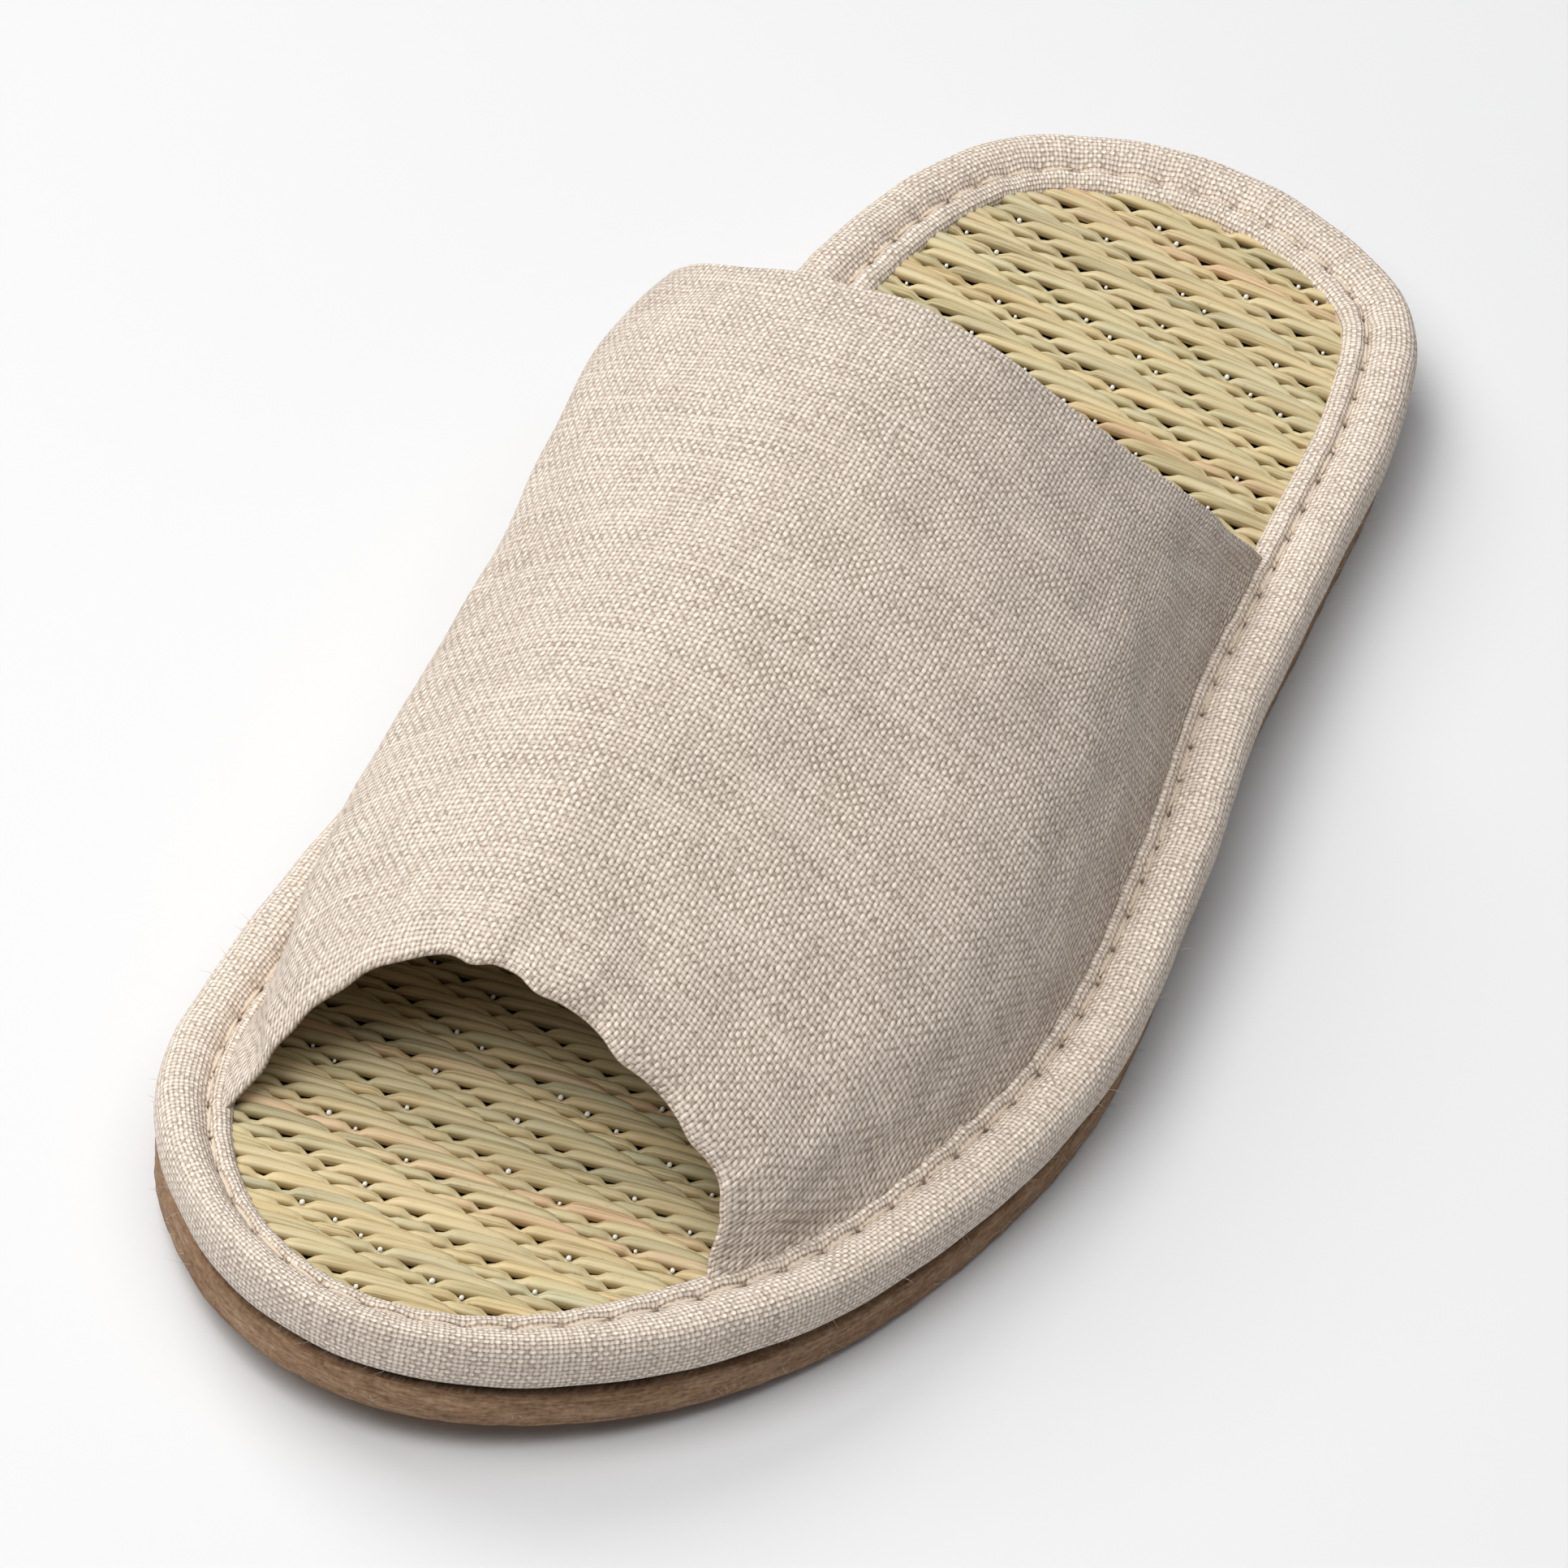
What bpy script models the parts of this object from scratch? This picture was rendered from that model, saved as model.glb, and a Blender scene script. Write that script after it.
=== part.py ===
"""Rush grass slipper for the left foot.

Metres, +Z up. The origin is under the middle of the sole, on the floor. The toe points to -Y and the
heel to +Y, and +X is the outer, little toe side. Sheets are stacked from the floor: foam outsole,
bottom board, then the rush insole inside a cloth-covered binding. The upper is one open band of cloth.
"""

import bisect
import math

import bmesh
import bpy
from mathutils import Vector

# The whole sole
LENGTH = 0.260
WIDTH = 0.099
TOE_SPRING = 0.0055
ARCH_LIFT = 0.0016
HEEL_LIFT = 0.0012

# The layers, from the floor up, and the gap between two that meet
OUTSOLE_THICKNESS = 0.0050
OUTSOLE_INSET = 0.0010
OUTSOLE_EDGE_RADIUS = 0.0008
BOARD_THICKNESS = 0.0010
BOARD_INSET = 0.0024
RUSH_THICKNESS = 0.0062
RUSH_CROWN = 0.0008
CLEARANCE = 0.0003

# The binding: a soft roll outside, a valley where it is sewn, and a flat lip over the mat's edge.
# Insets are drawn in from the sole's edge, and a smaller roundness makes the roll squarer.
BINDING_WIDTH = 0.0105
ROLL_HEIGHT = 0.0080
ROLL_WIDTH = 0.0068
ROLL_ROUNDNESS = 0.75
ROLL_SHOULDER_INSET = 0.0056
ROLL_SHOULDER_DROP = 0.0006
VALLEY_INSET = 0.0076
VALLEY_DEPTH = 0.0013
LIP_INSET = 0.0088
LIP_RISE = 0.0009
LIP_ROUNDING = 0.0004

# The upper
UPPER_WALL = 0.0020
UPPER_RISE = 0.0420
UPPER_BULGE = 0.0100
UPPER_TOE_MEDIAL = 0.0250
UPPER_TOE_LATERAL = 0.0325
UPPER_THROAT_MEDIAL = 0.1805
UPPER_THROAT_LATERAL = 0.1894
TOE_RIM_SWEEP = 0.0138
THROAT_RIM_SWEEP = 0.0270
UPPER_STEEPEST_LEAN = math.radians(40)

# Fineness of the faceted solids
SIDE_STEPS = 48
CROSS_STEPS = 6
UPPER_ROUND_STEPS = 32
UPPER_LONG_STEPS = 18
CURVE_STEPS = 240
ROLL_STEP = math.radians(30)
SMOOTHEST_EDGE = math.radians(40)

# Small steps along and round the upper, across which its slope is taken
SLOPE_LENGTH = 0.00065
SLOPE_SHARE = 0.005

# Plan of the sole. Place is the share of LENGTH from the toe tip; half width and shift of the
# middle line towards the outer side are shares of half of WIDTH.
PLAN = (
    # place, half width, shift
    (0.00, 0.000, -0.181),
    (0.03, 0.432, -0.181),
    (0.10, 0.755, -0.154),
    (0.20, 0.922, -0.071),
    (0.35, 0.995, 0.002),
    (0.50, 0.942, -0.018),
    (0.62, 0.865, -0.058),
    (0.75, 0.849, -0.116),
    (0.88, 0.778, -0.126),
    (0.96, 0.587, -0.109),
    (1.00, 0.000, -0.105),
)

# Width of the binding along the sole, as a share of its full width: it is drawn tight round the toe tip.
BINDING_SHARE = (
    # place, share
    (0.00, 0.60),
    (0.03, 0.68),
    (0.09, 0.90),
    (0.16, 0.91),
    (0.24, 1.00),
    (1.00, 1.00),
)

# Lift of the sole off the floor. Place is the share of LENGTH from the toe tip; the others are shares
# of TOE_SPRING, ARCH_LIFT and HEEL_LIFT. The rows of zeros are the flats that it stands on.
LIFT = (
    # place, toe, arch, heel
    (0.00, 1.00, 0.0, 0.0),
    (0.08, 0.55, 0.0, 0.0),
    (0.16, 0.20, 0.0, 0.0),
    (0.26, 0.00, 0.0, 0.0),
    (0.40, 0.00, 0.0, 0.0),
    (0.50, 0.00, 0.7, 0.0),
    (0.58, 0.00, 1.0, 0.0),
    (0.66, 0.00, 0.6, 0.0),
    (0.74, 0.00, 0.0, 0.0),
    (0.93, 0.00, 0.0, 0.0),
    (1.00, 0.00, 0.0, 1.0),
)

# Sections of the upper. Place is the share of LENGTH from the toe tip, rise a share of UPPER_RISE and
# crest a share of half of WIDTH towards the outer side. Each wall has a shoulder: out is how far it
# stands outside its foot, in shares of UPPER_BULGE, and up is its share of the section's rise.
SECTIONS = (
    # place, rise, crest, inner out, inner up, outer out, outer up
    (0.09, 0.50, -0.235, -1.00, 0.41, -0.80, 0.45),
    (0.135, 0.545, -0.240, -0.80, 0.46, -0.85, 0.455),
    (0.20, 0.635, -0.250, -0.15, 0.50, -0.93, 0.47),
    (0.27, 0.76, -0.257, 0.14, 0.50, -1.00, 0.50),
    (0.42, 0.91, -0.268, 0.60, 0.55, -1.10, 0.52),
    (0.50, 0.96, -0.278, 1.00, 0.58, -1.10, 0.52),
    (0.58, 0.99, -0.289, 1.35, 0.60, -1.15, 0.52),
    (0.66, 1.00, -0.300, 1.20, 0.60, -1.15, 0.50),
    (0.76, 1.00, -0.300, 1.00, 0.58, -1.00, 0.48),
)

# The section's five points, as shares of the way round it
FOOT_TO_FOOT = (0.00, 0.22, 0.50, 0.78, 1.00)

PAINTS = {
    # name: linear colour, roughness
    "foam": ((0.22, 0.13, 0.07), 0.85),
    "board": ((0.020, 0.017, 0.012), 0.80),
    "rush": ((0.50, 0.42, 0.22), 0.70),
    "linen": ((0.66, 0.58, 0.49), 0.90),
}


def clear_scene():
    for thing in list(bpy.data.objects):
        bpy.data.objects.remove(thing, do_unlink=True)


def smooth_value(knots, values, at):
    """Cubic through the knots, with each slope taken from the two neighbours."""
    index = min(max(bisect.bisect_right(knots, at) - 1, 0), len(knots) - 2)

    def slope(k):
        low, high = max(k - 1, 0), min(k + 1, len(knots) - 1)
        return (values[high] - values[low]) / (knots[high] - knots[low])

    span = knots[index + 1] - knots[index]
    t = (at - knots[index]) / span
    start, end = values[index], values[index + 1]
    return (
        (2 * t**3 - 3 * t**2 + 1) * start
        + (t**3 - 2 * t**2 + t) * span * slope(index)
        + (3 * t**2 - 2 * t**3) * end
        + (t**3 - t**2) * span * slope(index + 1)
    )


def column(table, index):
    return [row[index] for row in table]


def place_of(y):
    return min(max((y + LENGTH / 2) / LENGTH, 0.0), 1.0)


def lift(y):
    """Height of the sole's underside above the floor."""
    place = place_of(y)
    knots = column(LIFT, 0)
    shares = [smooth_value(knots, column(LIFT, k), place) for k in (1, 2, 3)]
    return max(
        0.0,
        TOE_SPRING * shares[0] + ARCH_LIFT * shares[1] + HEEL_LIFT * shares[2],
    )


def edge_point(angle, side):
    """Point of the plan's edge. The angle runs from 0 at the toe to pi at the heel."""
    knots = [math.acos(1 - 2 * place) for place in column(PLAN, 0)]
    half = max(smooth_value(knots, column(PLAN, 1), angle), 0.0)
    shift = smooth_value(knots, column(PLAN, 2), angle)
    return (shift + side * half) * WIDTH / 2, -math.cos(angle) * LENGTH / 2


def plan_ring(inset, steps=SIDE_STEPS, share_at=None):
    """Closed ring of the plan drawn in by the inset, or by its share at each place: toe, outer side, heel,
    inner side."""
    angles = [math.pi * k / steps for k in range(steps + 1)]
    ring = [edge_point(angle, 1) for angle in angles]
    ring += [edge_point(angle, -1) for angle in reversed(angles[1:-1])]
    drawn_in = []
    for index, (x, y) in enumerate(ring):
        before, after = ring[index - 1], ring[(index + 1) % len(ring)]
        along = (after[0] - before[0], after[1] - before[1])
        move = (inset * share_at(y) if share_at else inset) / math.hypot(*along)
        drawn_in.append((x - move * along[1], y + move * along[0]))
    return drawn_in


def binding_share(y):
    """Share of the binding's width at y, for what follows the binding."""
    return smooth_value(column(BINDING_SHARE, 0), column(BINDING_SHARE, 1), place_of(y))


def side_at(inset, side):
    """The edge inside the binding on one side, as a function that gives x for y."""
    ring = plan_ring(inset, CURVE_STEPS, binding_share)
    half = ring[: CURVE_STEPS + 1] if side > 0 else [ring[0]] + ring[:CURVE_STEPS - 1:-1]
    ys = [point[1] for point in half]

    def x_at(y):
        index = min(max(bisect.bisect_right(ys, y) - 1, 0), len(ys) - 2)
        t = (y - ys[index]) / (ys[index + 1] - ys[index])
        return half[index][0] + t * (half[index + 1][0] - half[index][0])

    return x_at


def paint(name):
    colour, roughness = PAINTS[name]
    material = bpy.data.materials.new(name)
    material.use_nodes = True
    shader = material.node_tree.nodes["Principled BSDF"]
    shader.inputs["Base Color"].default_value = (*colour, 1.0)
    shader.inputs["Roughness"].default_value = roughness
    shader.inputs["Metallic"].default_value = 0.0
    return material


def finish_piece(name, bm, material, collection):
    bmesh.ops.recalc_face_normals(bm, faces=bm.faces)
    mesh = bpy.data.meshes.new(name)
    bm.to_mesh(mesh)
    bm.free()
    mesh.shade_smooth()
    mesh.set_sharp_from_angle(angle=SMOOTHEST_EDGE)
    piece = bpy.data.objects.new(name, mesh)
    piece.data.materials.append(material)
    collection.objects.link(piece)
    return piece


def add_ring(bm, inset, height, share_at=None):
    ring = plan_ring(inset, SIDE_STEPS, share_at)
    return [bm.verts.new((x, y, height + lift(y))) for x, y in ring]


def join_rings(bm, lower, upper):
    count = len(lower)
    for k in range(count):
        after = (k + 1) % count
        bm.faces.new((lower[k], lower[after], upper[after], upper[k]))


def close_ring(bm, ring, crown=0.0):
    """Strips across the ring from side to side, raised by the crown in the middle."""
    steps = len(ring) // 2
    rows = [[ring[0]]]
    for k in range(1, steps):
        outer, inner = ring[k], ring[-k]
        row = [outer]
        for part in range(1, CROSS_STEPS):
            share = part / CROSS_STEPS
            point = outer.co.lerp(inner.co, share)
            hump = crown * math.sin(math.pi * share) * math.sin(math.pi * k / steps)
            row.append(bm.verts.new((point.x, point.y, point.z + hump)))
        rows.append(row + [inner])
    rows.append([ring[steps]])
    for one, two in zip(rows, rows[1:]):
        if len(one) == 1 or len(two) == 1:
            tip, row = (one[0], two) if len(one) == 1 else (two[0], one)
            for start, end in zip(row, row[1:]):
                bm.faces.new((tip, start, end))
            continue
        for k in range(CROSS_STEPS):
            bm.faces.new((one[k], one[k + 1], two[k + 1], two[k]))


def make_plate(name, rims, crown, material, collection, share_at=None):
    """A sheet from its edge's rings, listed from the underside up as (inset, height)."""
    bm = bmesh.new()
    rings = [add_ring(bm, inset, height, share_at) for inset, height in rims]
    for lower, upper in zip(rings, rings[1:]):
        join_rings(bm, lower, upper)
    close_ring(bm, rings[0])
    close_ring(bm, rings[-1], crown)
    return finish_piece(name, bm, material, collection)


def board_base():
    return OUTSOLE_THICKNESS + CLEARANCE


def rush_base():
    return board_base() + BOARD_THICKNESS + CLEARANCE


def rush_top():
    return rush_base() + RUSH_THICKNESS


def make_outsole(collection):
    rims = (
        (OUTSOLE_INSET + OUTSOLE_EDGE_RADIUS, 0.0),
        (OUTSOLE_INSET, OUTSOLE_EDGE_RADIUS),
        (OUTSOLE_INSET, OUTSOLE_THICKNESS - OUTSOLE_EDGE_RADIUS / 2),
        (OUTSOLE_INSET + OUTSOLE_EDGE_RADIUS / 2, OUTSOLE_THICKNESS),
    )
    return make_plate("outsole", rims, 0.0, paint("foam"), collection)


def make_board(collection):
    rims = ((BOARD_INSET, board_base()), (BOARD_INSET, board_base() + BOARD_THICKNESS))
    return make_plate("bottom_board", rims, 0.0, paint("board"), collection)


def make_rush(collection):
    inset = BINDING_WIDTH + CLEARANCE
    rims = ((inset, rush_base()), (inset, rush_top()))
    return make_plate("rush_insole", rims, RUSH_CROWN, paint("rush"), collection, binding_share)


def roll_point(turn):
    """Point of the roll's outside as (inset, height). The turn runs from -90 degrees below to 90 above."""
    out = math.cos(turn) ** ROLL_ROUNDNESS if abs(turn) < math.pi / 2 else 0.0
    up = math.copysign(abs(math.sin(turn)) ** ROLL_ROUNDNESS, turn)
    return ROLL_WIDTH / 2 * (1 - out), rush_base() + ROLL_HEIGHT / 2 * (1 + up)


def binding_profile():
    """Closed section of the binding as (inset, height), from under its roll over the top to the mat."""
    quarter = round(math.pi / 2 / ROLL_STEP)
    top = rush_base() + ROLL_HEIGHT
    lip = rush_top() + LIP_RISE
    return [roll_point(k * ROLL_STEP) for k in range(-quarter, quarter + 1)] + [
        (ROLL_SHOULDER_INSET, top - ROLL_SHOULDER_DROP),
        (VALLEY_INSET, top - VALLEY_DEPTH),
        (LIP_INSET, lip),
        (BINDING_WIDTH, lip - LIP_ROUNDING),
        (BINDING_WIDTH, rush_base()),
    ]


def make_binding(collection):
    bm = bmesh.new()
    rings = [add_ring(bm, inset, height, binding_share) for inset, height in binding_profile()]
    for lower, upper in zip(rings, rings[1:] + rings[:1]):
        join_rings(bm, lower, upper)
    return finish_piece("binding", bm, paint("linen"), collection)


def section_at(y, inner_edge, outer_edge):
    """The section's five points across and up: foot, shoulder, crest, shoulder, foot."""
    place = place_of(y)
    knots = column(SECTIONS, 0)
    rise, crest, inner_out, inner_up, outer_out, outer_up = (
        smooth_value(knots, column(SECTIONS, k), place) for k in range(1, 7)
    )
    top = UPPER_RISE * rise
    inner, outer = inner_edge(y), outer_edge(y)
    across = (
        inner,
        inner - UPPER_BULGE * inner_out,
        crest * WIDTH / 2,
        outer + UPPER_BULGE * outer_out,
        outer,
    )
    up = (0.0, top * inner_up, top, top * outer_up, 0.0)
    return across, up


def upper_point(y, way, inner_edge, outer_edge):
    """Point on the upper's outside. The way round is 0 at the inner foot and 1 at the outer one."""
    across, up = section_at(y, inner_edge, outer_edge)
    foot = rush_top() + CLEARANCE + lift(y)
    x = smooth_value(FOOT_TO_FOOT, across, way)
    return x, y, foot + smooth_value(FOOT_TO_FOOT, up, way)


def rim_y(medial, lateral, sweep, way):
    """Place of a rim along the slipper: between its two feet, drawn back by the sweep at the crest."""
    straight = medial + (lateral - medial) * way
    return straight - LENGTH / 2 + sweep * math.sin(math.pi * way)


def facing(point_at, y, way):
    """Outward direction of the upper's outside, from its slope along and round."""
    before, after = max(way - SLOPE_SHARE, 0.0), min(way + SLOPE_SHARE, 1.0)
    round_it = Vector(point_at(y, after)) - Vector(point_at(y, before))
    along_it = Vector(point_at(y + SLOPE_LENGTH, way)) - Vector(point_at(y - SLOPE_LENGTH, way))
    return round_it.cross(along_it).normalized()


def inside_of(outside, normal, is_foot):
    """The point across the wall. A foot's is level with the outside one, so that it stands flat."""
    if not is_foot:
        return outside - normal * UPPER_WALL
    sideways = max(abs(normal.x), math.sin(UPPER_STEEPEST_LEAN))
    return outside - Vector((math.copysign(UPPER_WALL / sideways, normal.x), 0.0, 0.0))


def upper_grids():
    """Rows of points from foot to foot, outside and inside, one row for each step to the throat."""
    inset = BINDING_WIDTH + CLEARANCE
    inner_edge = side_at(inset, -1)
    outer_edge = side_at(inset, 1)

    def point_at(y, way):
        return upper_point(y, way, inner_edge, outer_edge)

    outside, inside = [], []
    for step in range(UPPER_LONG_STEPS + 1):
        row, inner_row = [], []
        for k in range(UPPER_ROUND_STEPS + 1):
            way = k / UPPER_ROUND_STEPS
            toe = rim_y(UPPER_TOE_MEDIAL, UPPER_TOE_LATERAL, TOE_RIM_SWEEP, way)
            throat = rim_y(UPPER_THROAT_MEDIAL, UPPER_THROAT_LATERAL, -THROAT_RIM_SWEEP, way)
            y = toe + (throat - toe) * step / UPPER_LONG_STEPS
            point = Vector(point_at(y, way))
            is_foot = k in (0, UPPER_ROUND_STEPS)
            row.append(point)
            inner_row.append(inside_of(point, facing(point_at, y, way), is_foot))
        outside.append(row)
        inside.append(inner_row)
    return outside, inside


def make_upper(collection):
    bm = bmesh.new()
    outside, inside = upper_grids()
    rings = []
    for row, inner_row in zip(outside, inside):
        around = row + inner_row[::-1]
        rings.append([bm.verts.new(point) for point in around])
    for one, two in zip(rings, rings[1:]):
        join_rings(bm, one, two)
    for ring in (rings[0], rings[-1]):
        for k in range(UPPER_ROUND_STEPS):
            bm.faces.new((ring[k], ring[k + 1], ring[-k - 2], ring[-k - 1]))
    return finish_piece("upper", bm, paint("linen"), collection)


def main():
    clear_scene()
    collection = bpy.data.collections.new("rush_grass_slipper")
    bpy.context.scene.collection.children.link(collection)
    make_outsole(collection)
    make_board(collection)
    make_rush(collection)
    make_binding(collection)
    make_upper(collection)


main()
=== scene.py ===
import math

import bmesh
import bpy
import numpy as np
from mathutils import Matrix, Quaternion, Vector


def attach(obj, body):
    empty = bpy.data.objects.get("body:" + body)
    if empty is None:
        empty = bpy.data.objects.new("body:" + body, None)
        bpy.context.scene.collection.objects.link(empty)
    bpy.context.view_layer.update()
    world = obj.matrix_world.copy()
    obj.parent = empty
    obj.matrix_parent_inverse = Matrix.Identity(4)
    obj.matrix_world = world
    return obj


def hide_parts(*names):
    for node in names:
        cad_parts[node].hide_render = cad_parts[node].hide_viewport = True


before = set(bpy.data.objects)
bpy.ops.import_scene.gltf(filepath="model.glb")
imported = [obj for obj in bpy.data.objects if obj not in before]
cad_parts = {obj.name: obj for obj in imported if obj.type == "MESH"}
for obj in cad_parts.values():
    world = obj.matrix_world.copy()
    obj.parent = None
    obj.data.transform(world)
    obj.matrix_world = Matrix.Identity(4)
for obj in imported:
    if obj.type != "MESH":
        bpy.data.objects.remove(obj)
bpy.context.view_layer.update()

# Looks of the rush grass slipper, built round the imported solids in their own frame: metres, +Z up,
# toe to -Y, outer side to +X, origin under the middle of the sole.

MM = 0.001
RNG = np.random.default_rng(11)

# Sizes of the solids, as in the part
LENGTH = 0.260
WIDTH = 0.099
TOE_SPRING = 0.0055
ARCH_LIFT = 0.0016
HEEL_LIFT = 0.0012
BOARD_BASE = 0.0053
BOARD_THICKNESS = 0.0010
BOARD_INSET = 0.0024
RUSH_BASE = 0.0066
RUSH_TOP = 0.0128
RUSH_CROWN = 0.0008
BINDING_WIDTH = 0.0105
ROLL_HEIGHT = 0.0080
ROLL_WIDTH = 0.0068
UPPER_WALL = 0.0020
UPPER_RISE = 0.0420
UPPER_BULGE = 0.0100
UPPER_TOE = (0.0250, 0.0325)
UPPER_THROAT = (0.1805, 0.1894)
TOE_RIM_SWEEP = 0.0138
THROAT_RIM_SWEEP = -0.0270

# Plan of the sole: place from the toe, half width, shift
PLAN = np.array((
    (0.00, 0.000, -0.181), (0.03, 0.432, -0.181), (0.10, 0.755, -0.154), (0.20, 0.922, -0.071),
    (0.35, 0.995, 0.002), (0.50, 0.942, -0.018), (0.62, 0.865, -0.058), (0.75, 0.849, -0.116),
    (0.88, 0.778, -0.126), (0.96, 0.587, -0.109), (1.00, 0.000, -0.105),
))
# Lift off the floor: place, toe, arch, heel
LIFT = np.array((
    (0.00, 1.00, 0, 0), (0.08, 0.55, 0, 0), (0.16, 0.20, 0, 0), (0.26, 0, 0, 0), (0.40, 0, 0, 0),
    (0.50, 0, 0.7, 0), (0.58, 0, 1, 0), (0.66, 0, 0.6, 0), (0.74, 0, 0, 0), (0.93, 0, 0, 0), (1, 0, 0, 1),
))
# Sections of the upper: place, rise, crest, inner out, inner up, outer out, outer up
SECTIONS = np.array((
    (0.09, 0.50, -0.235, -1.00, 0.41, -0.80, 0.45), (0.135, 0.545, -0.240, -0.80, 0.46, -0.85, 0.455),
    (0.20, 0.635, -0.250, -0.15, 0.50, -0.93, 0.47), (0.27, 0.76, -0.257, 0.14, 0.50, -1.00, 0.50),
    (0.42, 0.91, -0.268, 0.60, 0.55, -1.10, 0.52),
    (0.50, 0.96, -0.278, 1.00, 0.58, -1.10, 0.52), (0.58, 0.99, -0.289, 1.35, 0.60, -1.15, 0.52),
    (0.66, 1.00, -0.300, 1.20, 0.60, -1.15, 0.50), (0.76, 1.00, -0.300, 1.00, 0.58, -1.00, 0.48),
))
# Width of the binding: place, share
BINDING_SHARE = np.array(((0.00, 0.60), (0.03, 0.68), (0.09, 0.90), (0.16, 0.91), (0.24, 1.00), (1.00, 1.00)))
FOOT_TO_FOOT = (0.00, 0.22, 0.50, 0.78, 1.00)

# Linen of the upper and the binding: pale and dark thread, spacing of the threads that run along, and how
# many times that the crossing threads take
UPPER_PALE, UPPER_DARK = (0.800, 0.715, 0.630), (0.420, 0.352, 0.290)
UPPER_THREAD, UPPER_STRETCH = 0.00067, 1.27
BINDING_PALE, BINDING_DARK = (0.890, 0.795, 0.700), (0.500, 0.420, 0.345)
BINDING_THREAD, BINDING_STRETCH = 0.00068, 1.0
# Pale and dark of the plain finishes
STITCH_TONES = ((0.74, 0.64, 0.51), (0.45, 0.36, 0.27))
WARP_TONES = ((0.92, 0.91, 0.88), (0.72, 0.70, 0.64))
# The pad under the stems is coloured near black, as painted shade where it shows between the stems
PAD_SHADE_TONES = ((0.075, 0.055, 0.028), (0.035, 0.024, 0.012))
FIBRE_TONES = ((0.72, 0.66, 0.58), (0.50, 0.42, 0.34))


def smooth(knots, values, at):
    """Cubic through the knots, with each slope taken from the two neighbours."""
    knots, values = np.asarray(knots, float), np.asarray(values, float)
    spot = np.arange(len(knots))
    low, high = np.maximum(spot - 1, 0), np.minimum(spot + 1, len(knots) - 1)
    run = (knots[high] - knots[low]).reshape(-1, *[1] * (values.ndim - 1))
    slopes = (values[high] - values[low]) / run
    i = np.clip(np.searchsorted(knots, at, side="right") - 1, 0, len(knots) - 2)
    span = knots[i + 1] - knots[i]
    t = (at - knots[i]) / span
    return (
        (2 * t**3 - 3 * t**2 + 1) * values[i]
        + (t**3 - 2 * t**2 + t) * span * slopes[i]
        + (3 * t**2 - 2 * t**3) * values[i + 1]
        + (t**3 - t**2) * span * slopes[i + 1]
    )


def place_of(y):
    return np.clip(np.asarray(y) / LENGTH + 0.5, 0.0, 1.0)


def lift(y):
    place = place_of(y)
    toe, arch, heel = (smooth(LIFT[:, 0], LIFT[:, k], place) for k in (1, 2, 3))
    return np.maximum(0.0, TOE_SPRING * toe + ARCH_LIFT * arch + HEEL_LIFT * heel)


def edge_track(steps):
    """The plan's edge at even steps: points, inward directions and length so far. It closes on itself."""
    knots = np.arccos(1 - 2 * PLAN[:, 0])
    turn = np.linspace(0, math.pi, 1500)
    half = np.maximum(smooth(knots, PLAN[:, 1], turn), 0.0)
    shift = smooth(knots, PLAN[:, 2], turn)
    y = -np.cos(turn) * LENGTH / 2
    outer = np.stack([(shift + half) * WIDTH / 2, y], 1)
    inner = np.stack([(shift - half) * WIDTH / 2, y], 1)[::-1]
    ring = np.concatenate([outer, inner[1:]])
    run = np.concatenate([[0], np.cumsum(np.linalg.norm(np.diff(ring, axis=0), axis=1))])
    at = np.linspace(0, run[-1], steps + 1)
    points = np.stack([np.interp(at, run, ring[:, k]) for k in (0, 1)], 1)
    along = np.roll(points[:-1], -1, 0) - np.roll(points[:-1], 1, 0)
    along = np.concatenate([along, along[:1]])
    along /= np.linalg.norm(along, axis=1)[:, None]
    inward = np.stack([-along[:, 1], along[:, 0]], 1)
    for _ in range(3):
        inward[:-1] = (np.roll(inward[:-1], 1, 0) + inward[:-1] + np.roll(inward[:-1], -1, 0)) / 3
        inward[-1] = inward[0]
    inward /= np.linalg.norm(inward, axis=1)[:, None]
    return points, inward, at


def binding_share(y):
    return smooth(BINDING_SHARE[:, 0], BINDING_SHARE[:, 1], place_of(y))


def edge_x(inset, side):
    """The edge inside the binding on one side, as a function from y to x."""
    points, inward, _ = edge_track(1200)
    ring = points + inward * inset * binding_share(points[:, 1])[:, None]
    toe, heel = np.argmin(ring[:-1, 1]), np.argmax(ring[:-1, 1])
    ring = np.roll(ring[:-1], -toe, 0)
    heel = (heel - toe) % len(ring)
    half = ring[: heel + 1] if side > 0 else np.concatenate([ring[:1], ring[:heel - 1:-1]])
    ys = np.maximum.accumulate(half[:, 1])
    return lambda y: np.interp(y, ys, half[:, 0])


def add_part(bm, part):
    """Adds a small mesh to a large one. Operators slow down on a large mesh, so each part is made alone."""
    mesh = bpy.data.meshes.new("part")
    part.to_mesh(mesh)
    part.free()
    bm.from_mesh(mesh)
    bpy.data.meshes.remove(mesh)


def grid_into(bm, points, uvs, wrap=False, tones=None):
    """A grid of quads laid on rows of points, with uvs in metres and a tone for each row. Where the last
    row or column lies on the first, wrap joins them."""
    rows, columns = points.shape[:2]
    part = bmesh.new()
    layer = part.loops.layers.uv.verify()
    tone_layer = part.verts.layers.float_color.new("stem_tone") if tones is not None else None
    made = bmesh.ops.create_grid(part, x_segments=columns - 1, y_segments=rows - 1, size=1.0)["verts"]
    flat, flat_uv = points.reshape(-1, 3), uvs.reshape(-1, 2)
    part.verts.index_update()
    for vert in made:
        vert.co = flat[vert.index]
    for face in part.faces:
        for loop in face.loops:
            loop[layer].uv = flat_uv[loop.vert.index]
    if tone_layer:
        for vert in made:
            vert[tone_layer] = (*tones[vert.index // columns], 1.0)
    if wrap:
        bmesh.ops.remove_doubles(part, verts=made, dist=1e-6)
    add_part(bm, part)


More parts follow.
